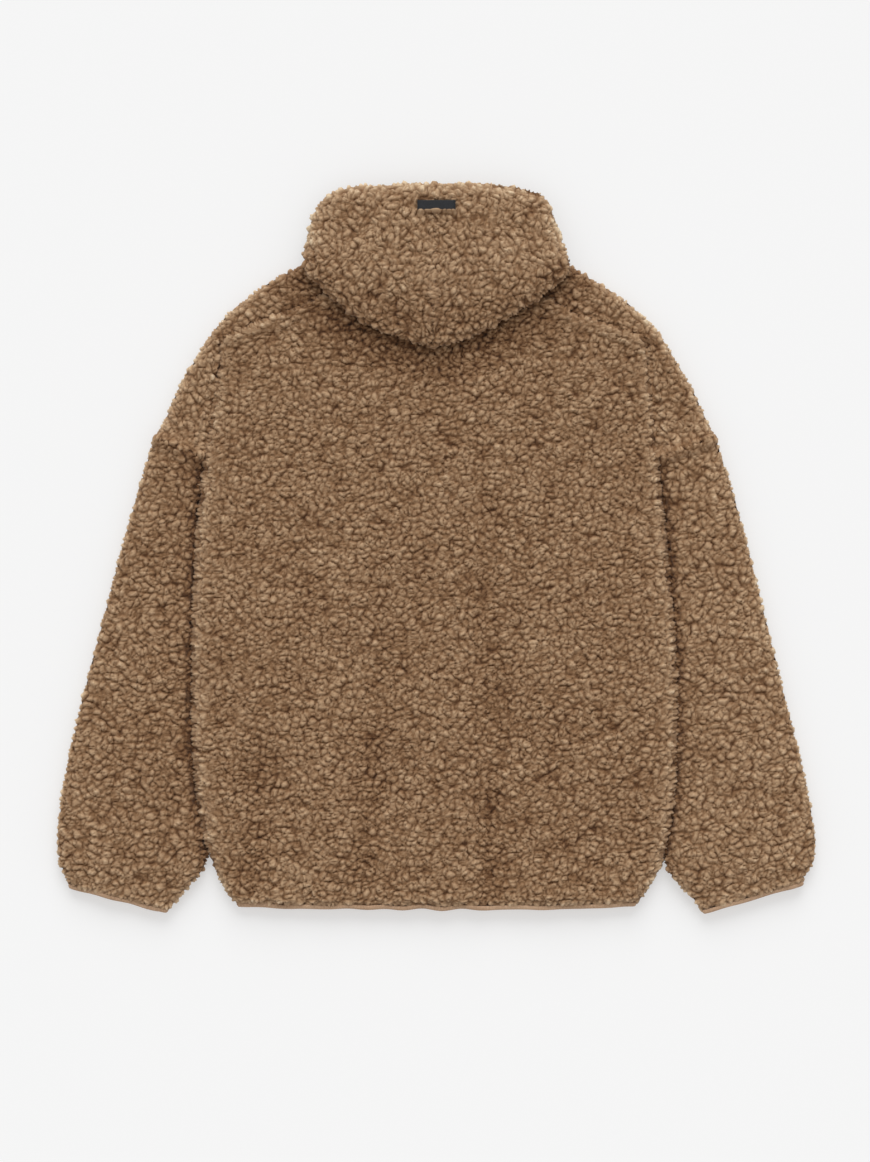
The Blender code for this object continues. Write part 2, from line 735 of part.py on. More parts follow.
def hood_fold(pile):
    """The hidden layers of the hood: one rounded body that fills it, stepped over the neckline."""
    outline = hood_outline()
    rim = dense(HOOD_RIM)
    lower = dense(HOOD_LOWER)
    neck = line_through(HOOD_STEP, STEP_POINTS)
    edge = FOLD_EDGE_COLUMNS
    across = [*edge, *np.linspace(*FOLD_COLUMNS), *(1 - share for share in reversed(edge))]
    rim_in = shrunk(rim, outline, HOOD_INSET)
    lower_in = shrunk(lower, outline, LOWER_INSET_SHARE * HOOD_INSET)
    upper_sides = [np.linspace(rim_in[end], neck[end], STEP_SIDE_POINTS) for end in (0, -1)]
    lower_sides = [np.linspace(neck[end], lower_in[end], STEP_SIDE_POINTS) for end in (0, -1)]
    above = patch(rim_in, neck, *upper_sides, across, FOLD_UPPER_ROWS)
    below = patch(neck, lower_in, *lower_sides, across, FOLD_LOWER_ROWS)
    net = np.concatenate([above, below])
    _, under_shell = hood_height(net)
    top = under_shell - HOOD_GAP
    on_floor = np.arange(len(net))[:, None] < len(above)
    low = np.where(on_floor, 0.0, LAYER_TOP + HOOD_GAP) + 0.0 * top
    at_edge = np.zeros(top.shape, bool)
    at_edge[0] = True
    at_edge[:, 0] = True
    at_edge[:, -1] = True
    low = np.where(at_edge & on_floor, FRONT_EDGE, low)
    top = np.maximum(top, low + THINNEST_FOLD)
    wall("hood_fold", with_heights(net, top), with_heights(net, low), pile)


def shrunk(line, outline, inset):
    """A line moved towards the middle of the hood by a distance."""
    middle = outline.mean(axis=0)
    inward = middle - line
    return line + inward / np.linalg.norm(inward, axis=1, keepdims=True) * inset * SLANTED_INSET


def hood_tab(finish):
    """The woven tab on the hood, a thin plate that follows the cloth under it."""
    x = np.linspace(-TAB_WIDTH / 2, TAB_WIDTH / 2, TAB_COLUMNS)
    y = np.linspace(TAB_Y[1], TAB_Y[0], TAB_ROWS)
    net = np.stack(np.meshgrid(x, y), axis=-1)
    top, _ = hood_height(net)
    under = top + TAB_LIFT
    wall("hood_tab", with_heights(net, under + TAB_THICK), with_heights(net, under), finish)


def main():
    for old in list(bpy.data.objects):
        bpy.data.objects.remove(old, do_unlink=True)
    pile = material("pile_fleece", BROWN_PILE, PILE_ROUGHNESS)
    hidden_pile = material("pile_fleece_shaded", BROWN_PILE_DARK, PILE_ROUGHNESS)
    elastic = material("elastic_binding", TAN_BINDING, BINDING_ROUGHNESS)
    woven = material("woven_tab", CHARCOAL_TAB, TAB_ROUGHNESS)
    net = body_panels(pile)
    for side in ("left", "right"):
        shoulder_end = shoulder(side, net, pile)
        edge, inner = sleeve(side, shoulder_end, pile)
        way = (inner - edge) / np.linalg.norm(inner - edge)
        outward = np.array([way[1], -way[0]]) if side == "left" else np.array([-way[1], way[0]])
        bound_end(f"cuff_binding_{side}", edge, inner, outward, CUFF_THICK, elastic)
        hood_half(side, pile)
    hem_left = net[-1, 0]
    hem_right = net[-1, -1]
    bound_end("hem_binding", hem_left, hem_right, np.array([0.0, -1.0]), HEM_THICK, elastic, bow=HEM_RISE)
    hood_fold(hidden_pile)
    hood_tab(woven)


main()
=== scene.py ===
# %% [markdown]
# # A pile fleece hoodie, laid flat on its front
#
# The real hoodie is cut from curled pile fleece, the cloth that looks like a lamb's coat. It lies face
# down with its arms folded down beside the body and its hood dropped on its back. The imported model
# already holds every cut piece at its real size, so this script only dresses them: it grows the curled
# pile on each cloth piece, knits the elastic bindings, weaves the tab, and sets up a camera and soft
# light straight above.

import math

import bmesh
import bpy
import numpy as np
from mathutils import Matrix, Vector, kdtree
from mathutils.bvhtree import BVHTree


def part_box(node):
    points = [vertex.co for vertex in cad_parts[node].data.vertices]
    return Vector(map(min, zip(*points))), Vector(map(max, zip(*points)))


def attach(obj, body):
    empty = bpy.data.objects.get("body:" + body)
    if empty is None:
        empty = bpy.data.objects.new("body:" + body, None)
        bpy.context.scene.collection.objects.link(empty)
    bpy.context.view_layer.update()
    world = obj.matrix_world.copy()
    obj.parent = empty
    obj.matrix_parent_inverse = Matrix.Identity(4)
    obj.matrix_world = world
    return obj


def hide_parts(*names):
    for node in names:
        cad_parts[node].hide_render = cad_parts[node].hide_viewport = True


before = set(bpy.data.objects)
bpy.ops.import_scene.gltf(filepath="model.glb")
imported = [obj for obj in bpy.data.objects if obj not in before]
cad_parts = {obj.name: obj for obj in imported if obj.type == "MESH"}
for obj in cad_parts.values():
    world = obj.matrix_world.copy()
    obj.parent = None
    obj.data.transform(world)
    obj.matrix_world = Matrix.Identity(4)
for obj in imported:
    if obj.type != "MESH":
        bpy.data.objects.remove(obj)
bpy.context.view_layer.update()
MM = 0.001
print("the packed model has", len(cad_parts), "pieces")

# %% [markdown]
# ## Two small helpers
#
# Colours are easiest to choose as the hex values of a picture editor, but Blender mixes light in linear
# values, so one function turns the first into the second. A second one adds a node to any node tree, with
# its settings and whatever feeds it, which keeps each material readable from top to bottom.

# %% Colour and node helpers
def linear(hex_colour):
    """The linear colour of an sRGB hex value such as #8a6c50."""
    parts = [int(hex_colour[i:i + 2], 16) / 255 for i in (1, 3, 5)]
    return tuple(p / 12.92 if p <= 0.04045 else ((p + 0.055) / 1.055) ** 2.4 for p in parts) + (1.0,)


def add_node(tree, kind, settings=None, inputs=None):
    """Adds a node. An input is a plain value, or an output of another node that feeds it."""
    made = tree.nodes.new(kind)
    for name, value in (settings or {}).items():
        setattr(made, name, value)
    for name, value in (inputs or {}).items():
        if isinstance(value, bpy.types.NodeSocket):
            tree.links.new(value, made.inputs[name])
        else:
            made.inputs[name].default_value = value
    return made


# %% [markdown]
# ## Camera
#
# The picture was taken from straight above, from far enough away that nothing leans. A long lens high up
# gives that look. One pixel of the picture covers 1.08 mm of the garment, and a distance that follows
# from the lens gives the same size here.

# %% Camera straight above
PICTURE_HEIGHT = 1162
PIXEL = 1.08 * MM
VIEW_CENTRE = Vector((-1.6, -34.6, 10.0)) * MM
LENS, SENSOR = 100.0, 36.0
FARTHEST_SEEN = 20.0

camera_data = bpy.data.cameras.new("camera")
camera_data.lens = LENS
camera_data.sensor_width = SENSOR
camera_data.clip_end = FARTHEST_SEEN
camera = bpy.data.objects.new("camera", camera_data)
camera.location = VIEW_CENTRE + Vector((0, 0, PICTURE_HEIGHT * PIXEL * LENS / SENSOR))
bpy.context.scene.collection.objects.link(camera)
bpy.context.scene.camera = camera
print("the camera stands", round(camera.location.z, 3), "m above the floor")

# %% [markdown]
# ## Light and floor
#
# A product picture like this is lit by large soft boxes on white paper. A bright even sky stands in for
# the boxes, and one wide sun from beyond the hood gives the curls their lit upper side and leaves the
# faint shadow below the hem. The paper lies on a lit table, so it glows a little by itself, and the
# shadow stays faint. The plain Standard view keeps the paper as white as it is and the browns as they
# were chosen.

# %% Sky, sun and paper
SKY_STRENGTH = 0.70
SUN_STRENGTH = 1.95
SUN_WIDTH, SUN_LEAN = math.radians(44), math.radians(-56)
PAPER_GLOW = 0.42
PAPER_GRAINS = 900.0
FLOOR_SIZE = 8.0

bpy.context.scene.view_settings.view_transform = "Standard"

sky = bpy.data.worlds.new("even_sky")
sky.use_nodes = True
sky.node_tree.nodes["Background"].inputs["Color"].default_value = (1, 1, 1, 1)
sky.node_tree.nodes["Background"].inputs["Strength"].default_value = SKY_STRENGTH
bpy.context.scene.world = sky

sun_data = bpy.data.lights.new("wide_sun", "SUN")
sun_data.energy = SUN_STRENGTH
sun_data.angle = SUN_WIDTH
sun = bpy.data.objects.new("wide_sun", sun_data)
sun.rotation_euler = (SUN_LEAN, 0, 0)
bpy.context.scene.collection.objects.link(sun)

paper = bpy.data.materials.new("white_paper")
paper.use_nodes = True
paper_shader = paper.node_tree.nodes["Principled BSDF"]
spot = add_node(paper.node_tree, "ShaderNodeTexCoord")
grain = add_node(paper.node_tree, "ShaderNodeTexNoise", {}, {
    "Vector": spot.outputs["Object"], "Scale": PAPER_GRAINS, "Detail": 2.0})
tooth = add_node(paper.node_tree, "ShaderNodeValToRGB", {}, {"Fac": grain.outputs["Fac"]})
tooth.color_ramp.elements[0].color = linear("#b6b6b6")
tooth.color_ramp.elements[1].color = linear("#b8b8b8")
paper.node_tree.links.new(tooth.outputs["Color"], paper_shader.inputs["Base Color"])
paper_shader.inputs["Emission Color"].default_value = (1, 1, 1, 1)
paper_shader.inputs["Emission Strength"].default_value = PAPER_GLOW
paper_shader.inputs["Roughness"].default_value = 0.9
paper_shader.inputs["Specular IOR Level"].default_value = 0.1

# %% The floor
floor_shape = bmesh.new()
bmesh.ops.create_grid(floor_shape, x_segments=1, y_segments=1, size=FLOOR_SIZE / 2)
floor_mesh = bpy.data.meshes.new("floor")
floor_shape.to_mesh(floor_mesh)
floor_shape.free()
floor_mesh.materials.append(paper)
floor = bpy.data.objects.new("floor", floor_mesh)
bpy.context.scene.collection.objects.link(floor)
print("the paper is", FLOOR_SIZE, "m wide, under a sun", round(math.degrees(SUN_WIDTH)), "degrees wide")

# %% [markdown]
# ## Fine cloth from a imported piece
#
# Pile fleece is a knitted ground with curled tufts standing on it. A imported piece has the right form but
# only a few hundred large faces. To carry tufts of 6 to 7 mm its surface needs points little more than 1
# mm apart, and a voxel remesh gives exactly that: an even net of small squares over the same form. What
# lies close under a neighbour is never seen, so it is cut away. The side that rests on the table is
# pressed flat and needs far fewer points, so it gets a coarser net of its own.

# %% Copy and remesh a piece
SAME_POINT = 0.02 * MM


def merged_copy(node):
    """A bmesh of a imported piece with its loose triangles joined."""
    shape = bmesh.new()
    shape.from_mesh(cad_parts[node].data)
    bmesh.ops.remove_doubles(shape, verts=shape.verts, dist=SAME_POINT)
    return shape


def finished(name, shape, material):
    """Turns a bmesh into a smooth object at the origin."""
    mesh = bpy.data.meshes.new(name)
    shape.to_mesh(mesh)
    shape.free()
    mesh.shade_smooth()
    mesh.materials.append(material)
    piece = bpy.data.objects.new(name, mesh)
    bpy.context.scene.collection.objects.link(piece)
    return piece


def remove_helper(helper):
    """Deletes an object that only served as a step, with its mesh."""
    mesh = helper.data
    bpy.data.objects.remove(helper)
    bpy.data.meshes.remove(mesh)


def fine_net(node, square):
    """A bmesh with the piece's form, in even squares of about the given side."""
    helper = finished("net", merged_copy(node), None)
    remesh = helper.modifiers.new("even squares", "REMESH")
    remesh.mode = "VOXEL"
    remesh.voxel_size = square
    shape = bmesh.new()
    shape.from_mesh(helper.evaluated_get(bpy.context.evaluated_depsgraph_get()).to_mesh())
    remove_helper(helper)
    return shape


def points_and_normals(shape):
    """The points of a bmesh and the way that its surface faces at each, as arrays."""
    shape.normal_update()
    return np.array([v.co for v in shape.verts]), np.array([v.normal for v in shape.verts])


# %% [markdown]
# ## What lies hidden
#
# A face is hidden when a short ray from it soon meets a neighbour, or another layer of its own piece. A
# strip of hidden cloth stays all round, so that a neighbour's edge never lies on a bare cut, and scraps
# are dropped.

# %% Find what lies hidden
COVER = 7 * MM
STEP_OFF = 1.2 * MM
TUCK = 9 * MM
RESTING_HEIGHT = 9 * MM
RESTING_SLOPE = -0.45
SMALLEST_ISLAND = 150


def surface_tree(nodes):
    """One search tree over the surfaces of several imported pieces."""
    points = []
    faces = []
    for node in nodes:
        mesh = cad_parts[node].data
        start = len(points)
        points += [v.co.copy() for v in mesh.vertices]
        faces += [[start + i for i in face.vertices] for face in mesh.polygons]
    return BVHTree.FromPolygons(points, faces)


def cut_hidden(shape, node, square, underside):
    """Keeps the underside or the rest of a piece, without what is covered but with a strip tucked under."""
    own = surface_tree([node])
    others = surface_tree([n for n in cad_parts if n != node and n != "hood_tab"])
    shown = set()
    for face in shape.faces:
        centre = face.calc_center_median()
        way = face.normal
        if (way.z < RESTING_SLOPE and centre.z < RESTING_HEIGHT) != underside:
            continue
        if others.ray_cast(centre - way * STEP_OFF, way, COVER + STEP_OFF)[0]:
            continue
        if own.ray_cast(centre + way * STEP_OFF, way, COVER)[0]:
            continue
        shown.add(face)
    rows = 1 if underside else round(TUCK / square)
    for _ in range(rows):
        shown |= {near for face in shown for vert in face.verts for near in vert.link_faces}
    bmesh.ops.delete(shape, geom=[f for f in shape.faces if f not in shown], context="FACES")
    drop_scraps(shape)


def drop_scraps(shape):
    """Deletes separate scraps that are too small to be cloth."""
    unseen = set(shape.faces)
    scraps = []
    while unseen:
        island = [unseen.pop()]
        for face in island:
            for near in {other for edge in face.edges for other in edge.link_faces} & unseen:
                unseen.remove(near)
                island.append(near)
        if len(island) < SMALLEST_ISLAND:
            scraps += island
    bmesh.ops.delete(shape, geom=scraps, context="FACES")


# %% [markdown]
# ## Where the tufts stand
#
# On the real cloth the pile curls up in the finishing bath into tufts that stand close together at even
# distances, but never in rows. Geometry Nodes can spread points that way: its Poisson setting keeps each
# point a least distance from the others.

# %% Scatter the tufts
MOST_TUFTS = 200000.0
SCATTER_SEED = 5


def scatter_tree():
    """Points at least a given distance apart over a surface, each with the way the surface faces."""
    tree = bpy.data.node_groups.new("scatter_tufts", "GeometryNodeTree")
    tree.interface.new_socket("Surface", in_out="INPUT", socket_type="NodeSocketGeometry")
    tree.interface.new_socket("Distance", in_out="INPUT", socket_type="NodeSocketFloat")
    tree.interface.new_socket("Points", in_out="OUTPUT", socket_type="NodeSocketGeometry")
    start = add_node(tree, "NodeGroupInput")
    spread = add_node(tree, "GeometryNodeDistributePointsOnFaces", {"distribute_method": "POISSON"}, {
        "Mesh": start.outputs["Surface"], "Distance Min": start.outputs["Distance"],
        "Density Max": MOST_TUFTS, "Seed": SCATTER_SEED})
    facing = add_node(tree, "GeometryNodeStoreNamedAttribute", {"data_type": "FLOAT_VECTOR"}, {
        "Geometry": spread.outputs["Points"], "Name": "facing", "Value": spread.outputs["Normal"]})
    points = add_node(tree, "GeometryNodePointsToVertices", {}, {"Points": facing.outputs["Geometry"]})
    add_node(tree, "NodeGroupOutput", {}, {"Points": points.outputs["Mesh"]})
    return tree


SCATTER = scatter_tree()


def tuft_places(shape, distance):
    """The places of the tufts on a bmesh, and the way that the cloth faces at each."""
    mesh = bpy.data.meshes.new("ground")
    shape.to_mesh(mesh)
    helper = bpy.data.objects.new("ground", mesh)
    bpy.context.scene.collection.objects.link(helper)
    spread = helper.modifiers.new("tufts", "NODES")
    spread.node_group = SCATTER
    spread[SCATTER.interface.items_tree["Distance"].identifier] = distance
    seen = helper.evaluated_get(bpy.context.evaluated_depsgraph_get()).to_mesh()
    places = np.zeros(len(seen.vertices) * 3)
    seen.vertices.foreach_get("co", places)
    facing = np.zeros(len(seen.vertices) * 3)
    seen.attributes["facing"].data.foreach_get("vector", facing)
    remove_helper(helper)
    return places.reshape(-1, 3), facing.reshape(-1, 3)


# %% [markdown]
# ## The form of a tuft
#
# A tuft is a plump bean of curled fibre, a little longer than wide, bent, and lying whichever way it
# dried. Each point of the net asks its nearest tufts how high they stand there and takes the highest, and
# where two are almost level it sinks into the crevice between them. Beside the sleeves and shoulders the
# pile was combed, so there the tufts all lie across the body and are longer.

# %% Height of the tufts
NEAREST = 5
TUFT_LENGTH = (0.85, 1.35)
TUFT_WIDTH = (0.60, 0.90)
TUFT_BEND = 0.6
TUFT_RISE = (0.75, 1.0)
TUFT_UPWARD = 0.3
BEND_MIDDLE = 0.25
ROUNDNESS = 0.5
SAME_SIDE = -0.3
COMBED_LONGER, COMBED_NARROWER = 0.9, 0.15
CREVICE_REACH = 0.5
CREVICE_SHARE, CREVICE_SHARPNESS = 0.5, 1.5
STRAND_STEP = 50.0


def tuft_height(points, normals, places, facing, combed, distance, slim, lie, seed):
    """How high the tufts stand at each point, from 0 to 1, the place on the highest one, and its tint."""
    draw = np.random.default_rng(seed)
    count = len(facing)
    turn = draw.normal(0.0, lie, count) * (1 - combed)
    along = np.stack([np.cos(turn), np.sin(turn), np.full(count, TUFT_UPWARD)], 1)
    along -= facing * (along * facing).sum(1, keepdims=True)
    along /= np.linalg.norm(along, axis=1, keepdims=True)
    across = np.cross(facing, along)
    length = distance * slim * draw.uniform(*TUFT_LENGTH, count) * (1 + COMBED_LONGER * combed)
    width = distance / slim * draw.uniform(*TUFT_WIDTH, count) * (1 - COMBED_NARROWER * combed)
    bend = draw.uniform(-TUFT_BEND, TUFT_BEND, count)
    rise = draw.uniform(*TUFT_RISE, count)
    tint = draw.uniform(-1.0, 1.0, count)
    search = kdtree.KDTree(count)
    for i, place in enumerate(places):
        search.insert(place, i)
    search.balance()
    near = np.array([[hit[1] for hit in search.find_n(point, NEAREST)] for point in points])
    offset = points[:, None, :] - places[near]
    u = (offset * along[near]).sum(2) / length[near]
    w = (offset * across[near]).sum(2) / width[near] - bend[near] * (u * u - BEND_MIDDLE)
    same_side = (normals[:, None, :] * facing[near]).sum(2) > SAME_SIDE
    dome = np.clip(1.0 - u * u - w * w, 0.0, 1.0) ** ROUNDNESS * rise[near] * same_side
    row = np.arange(len(points))
    top = dome.argmax(axis=1)
    tint = tint[near[row, top]]
    down = (u * length[near])[row, top] / MM
    aside = (w * width[near])[row, top] / MM
    strand = np.stack([down, aside, tint * STRAND_STEP], 1)
    dome.sort(axis=1)
    lead = np.clip((dome[:, -1] - dome[:, -2]) / CREVICE_REACH, 0.0, 1.0)
    crevice = (1.0 - lead) ** CREVICE_SHARPNESS
    return dome[:, -1] * (1.0 - CREVICE_SHARE * crevice), strand, tint


# %% [markdown]
# ## Crevices
#
# Between the tufts the pile also parts in crooked lines: long ones that run across the body, short ones
# that cross them, and fine ones inside a tuft. A smooth random field crosses zero along just such crooked
# lines, and a sum of many sine waves of about one length, each with its own direction, is such a field.
# Its value also serves as a slow wander that keeps the tufts from looking turned on a lathe.

# %% Random waves
WAVES = 56
WAVE_RISE = 0.6
WAVE_LENGTHS = (0.8, 1.25)


def waves(points, length, stretch, seed):
    """A smooth random field of unit spread, whose waves are about one length long."""
    draw = np.random.default_rng(seed)
    turn = draw.uniform(0, 2 * math.pi, WAVES)
    rise = draw.uniform(-WAVE_RISE, WAVE_RISE, WAVES)
    way = np.stack([np.cos(turn) * stretch[0], np.sin(turn) * stretch[1], rise], 1)
    way *= (2 * math.pi / length * draw.uniform(*WAVE_LENGTHS, WAVES))[:, None]
    return np.cos(points @ way.T + draw.uniform(0, 2 * math.pi, WAVES)).sum(1) * math.sqrt(2 / WAVES)


line = np.linspace((0.0, 0.0, 0.0), (1.0, 1.0, 0.0), 500)
print("a field of", WAVES, "waves spreads by", round(float(waves(line, 0.01, (1.0, 1.0), 0).std()), 2))

# %% [markdown]
# ## Soft folds
#
# The cloth of the lower back lies in a few long, shallow folds. In each one the pile is lower and painted
# a little darker, as painted shade in the fold, and it fades out softly to all sides.

# %% Soft folds of the back
TROUGH_END = 1.6
TROUGHS = (
    # x and y of both ends in mm, half width and depth in mm, and how much painted shade darkens the pile
    (-56.0, -80.0, -64.0, -190.0, 13.0, 0.6, 0.04),
    (-65.0, -215.0, -80.0, -345.0, 16.0, 1.4, 0.10),
    (-187.0, -215.0, -200.0, -345.0, 16.0, 1.2, 0.10),
    (57.0, -265.0, 57.0, -370.0, 15.0, 1.4, 0.12),
    (53.0, -50.0, 63.0, -185.0, 20.0, 1.0, 0.08),
    (48.0, 160.0, 53.0, -44.0, 10.0, 0.5, 0.04),
    (-30.0, 40.0, -12.0, -60.0, 14.0, 0.4, 0.02),
    (120.0, -190.0, 140.0, -300.0, 24.0, 0.8, 0.04),
)


def troughs(points):
    """How deep the soft folds of the back lie at each point, and how much painted shade darkens the pile in
    them.
    """
    deep = np.zeros(len(points))
    painted_fold_shade = np.zeros(len(points))
    for x0, y0, x1, y1, half_width, depth, painted_darkening in TROUGHS:
        start = np.array((x0, y0)) * MM
        way = np.array((x1, y1)) * MM - start
        length = np.linalg.norm(way)
        turned = np.array(((way[0], way[1]), (way[1], -way[0])))
        down, aside = ((points[:, :2] - start) @ turned.T / length).T
        beyond = np.maximum(np.maximum(-down, down - length), 0) / TROUGH_END
        near = np.exp(-(aside ** 2 + beyond ** 2) / (half_width * MM) ** 2)
        deep += near * depth * MM
        painted_fold_shade += near * painted_darkening
    return deep, painted_fold_shade


deepest = troughs(np.array([(*row[:2], 0.0) for row in TROUGHS]) * MM)[0].max()
print(len(TROUGHS), "soft folds, the deepest starts", round(float(deepest) / MM, 1), "mm deep")

# %% [markdown]
# ## Where pieces meet
#
# Where two pieces are sewn the pile of both leans over the seam and nearly hides it. Where they only lie
# side by side it leans in less, so a groove stays, with a raised edge of the body beside it. There the colour
# is painted with a highlight on the raised edge and painted shade in the groove. Near other seams and the
# bindings the pile is painted a little paler or darker as well. The cloth close to the hood is painted
# darker, as the shade that falls where less light gets there, and free edges that turn down are painted
# paler, as a painted sheen.

# %% Seams and grooves
SHOULDERS = ("shoulder_left", "shoulder_right")
SLEEVES = ("sleeve_left", "sleeve_right")
HOOD = ("hood_left", "hood_right")
# how far from the neighbour it starts, how far it raises and fills the top and fills the sides, all in mm,
# and how much paler it paints the pile on top and at the side: a painted highlight where positive, painted
# shade where negative
SEAM = (8.0, 2.0, 1.6, 3.4, -0.03, -0.05)
RIDGE = (20.0, 2.4, 0.8, 3.4, 0.13, -0.05)
UNDER_RIDGE = (11.0, 0.4, 0.4, 3.4, -0.14, -0.20)
ARMHOLE = (14.0, 4.4, 1.2, 3.6, -0.03, -0.05)
BODY_EDGE = (26.0, 1.8, 0.0, 3.9, 0.17, -0.02)
SLEEVE_EDGE = (17.0, -4.6, 0.0, 3.2, -0.26, -0.20)
SLEEVE_SHADE = (40.0, 0.0, 0.0, 0.0, -0.09, -0.05)
OVER_BINDING = (16.0, 0.0, 0.6, 2.2, 0.10, 0.16)
UNDER_HOOD = (20.0, 0.0, -2.5, 0.0, -0.05, -0.05)
OVER_BODY = (32.0, 0.0, 0.0, 0.0, -0.22, -0.22)
HOOD_SHADE = (62.0, 0.0, 0.0, 0.0, -0.21, -0.15)
JOINS = {
    "back": [(SHOULDERS, RIDGE), (SLEEVES, BODY_EDGE), (HOOD, HOOD_SHADE),
             (("hem_binding",), OVER_BINDING)],
    "front": [(SLEEVES, BODY_EDGE), (("hem_binding",), OVER_BINDING)],
    "shoulder_left": [(("back",), UNDER_RIDGE), (("sleeve_left",), ARMHOLE), (HOOD, HOOD_SHADE)],
    "shoulder_right": [(("back",), UNDER_RIDGE), (("sleeve_right",), ARMHOLE), (HOOD, HOOD_SHADE)],
    "sleeve_left": [(SHOULDERS, ARMHOLE), (("back",), SLEEVE_EDGE), (("back",), SLEEVE_SHADE),
                    (("cuff_binding_left",), OVER_BINDING)],
    "sleeve_right": [(SHOULDERS, ARMHOLE), (("back",), SLEEVE_EDGE), (("back",), SLEEVE_SHADE),
                     (("cuff_binding_right",), OVER_BINDING)],
    "hood_left": [(("hood_right",), SEAM), (("back",) + SHOULDERS, OVER_BODY)],
    "hood_right": [(("hood_left",), SEAM), (("back",) + SHOULDERS, OVER_BODY)],
    "hood_fold": [(HOOD, UNDER_HOOD)],
}
# painted sheen on free edges that turn down, and the tilt from which it starts
PAINTED_EDGE_SHEEN, EDGE_TILT = 0.34, 0.12
STEEP = (0.3, 0.8)
FACES_UP = 0.4


def nearness(points, nodes, reach):
    """1 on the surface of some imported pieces, falling softly to 0 at a reach in mm, and the way to them."""
    tree = surface_tree(nodes)
    near = np.zeros(len(points))
    way = np.zeros((len(points), 3))
    for i, point in enumerate(points):
        place, _, _, gap = tree.find_nearest(point, reach * MM)
        if place is not None:
            near[i] = 1 - gap / (reach * MM)
            way[i] = (place - Vector(point)).normalized()
    return near * near * (3 - 2 * near), way


def joined(points, normals, node):
    """How the neighbours of a piece move its pile, and how much painted light and shade they and its free
    edges add to its colour.
    """
    shift = np.zeros_like(points)
    tone = np.zeros(len(points))
    free = np.ones(len(points))
    sideways = 1 - np.abs(normals[:, 2])
    steep = np.clip((sideways - STEEP[0]) / (STEEP[1] - STEEP[0]), 0, 1)
    for neighbours, (reach, raised, filled, side_filled, painted_light, side_painted_light) in JOINS[node]:
        near, way = nearness(points, neighbours, reach)
        leaning = side_filled * sideways ** 2 * np.clip((normals * way).sum(1), 0, 1)
        shift += normals * (near * (filled * (1 - sideways) + leaning) * MM)[:, None]
        shift[:, 2] += near * np.clip(normals[:, 2] + FACES_UP, 0, 1) * raised * MM
        # painted highlight or painted shade near each neighbour, on top and at the steep sides
        tone += near * (painted_light * (1 - steep) + side_painted_light * steep)
        free *= 1 - near
    # free edges that turn down get a painted sheen
    tilt = np.sqrt(1 - np.clip(normals[:, 2], -1, 1) ** 2)
    return shift, tone + PAINTED_EDGE_SHEEN * np.clip(tilt - EDGE_TILT, 0, 1) * free


# %% [markdown]
# ## The rim of the hood and the tab
#
# At its rim the hood is too thin to carry the full pile, so there it stands out less. Under the tab the
# pile is pressed down, and along the tab's lower edge it curls up over it.

# %% Thin rim and tab
RAY_STEP = 0.2 * MM
FULL_CLOTH, RIM_CLOTH = 9.0 * MM, 4.5 * MM
TAB_PRESS = 3.0 * MM
TAB_CURL = 5.4 * MM
TAB_RIM = 2.4 * MM
TAB_DEEP, TAB_INSET, TAB_CURL_WIDTH = 3 * TAB_RIM, 0.7 * TAB_RIM, 1.6 * TAB_RIM


def thin_rim(points, normals, node):
    """1 where the cloth is too thin to hold the pile, as at the rim of the hood, and 0 where it is not."""
    own = surface_tree([node])
    found = [own.ray_cast(Vector(point - normal * RAY_STEP), Vector(-normal))[3]
             for point, normal in zip(points, normals)]
    through = np.array([FULL_CLOTH if distance is None else distance for distance in found])
    return np.clip((FULL_CLOTH - through) / (FULL_CLOTH - RIM_CLOTH), 0, 1)


def tab_shift(points):
    """How far the tab presses the pile down, and how far the pile curls up along its lower edge."""
    low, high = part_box("hood_tab")
    x, y, z = points.T
    beside = np.clip(np.maximum(low.x - x, x - high.x) / TAB_RIM, 0, 1)
    above = np.clip((y - high.y) / TAB_RIM, 0, 1)
    below = np.clip((low.y + TAB_INSET - y) / TAB_RIM, 0, 1)
    under = (1 - beside) * (1 - above) * (1 - below)
    curl = (1 - beside) * np.clip(1 - np.abs(y - low.y) / TAB_CURL_WIDTH, 0, 1)
    return (z > low.z - TAB_DEEP) * (curl * TAB_CURL - under * TAB_PRESS)


# %% [markdown]
# ## Raising the pile
#
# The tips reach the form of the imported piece, and everything between them is lower. Tufts and crevices
# are laid over each other, and what the material needs to know about each point is handed on with the
# net. Every random field has a seed of its own, counted from the seed of the piece.

# %% Raise the pile
TUFT_DISTANCE = 6.2
LONG_CREVICE, SHORT_CREVICE, FINE_CREVICE = 15.0, 13.0, 5.5
LONG_DEPTH, SHORT_DEPTH, FINE_DEPTH = 0.60, 0.48, 0.25
CREVICE_WIDTH, FINE_WIDTH = 0.26, 0.5
USUAL_STRENGTH, CLUSTER_STRENGTH = 0.75, 0.35
STRENGTH_LIMITS = (0.3, 1.2)
LOWEST = 0.1 * MM
CLUSTER = 26.0
WANDER, WANDER_LENGTH = 0.8, 14.0
TUFT_SHARE = 0.65
EDGE_RISE = 0.35
EDGE_LEVEL = 0.15
TINT_PALER = 0.035
CLUSTER_PALER = 0.018
COMBED_REACH = 26.0
COMBED_BESIDE = {"back": SLEEVES + SHOULDERS, "front": SLEEVES}
ROUND = (1.0, 1.0)


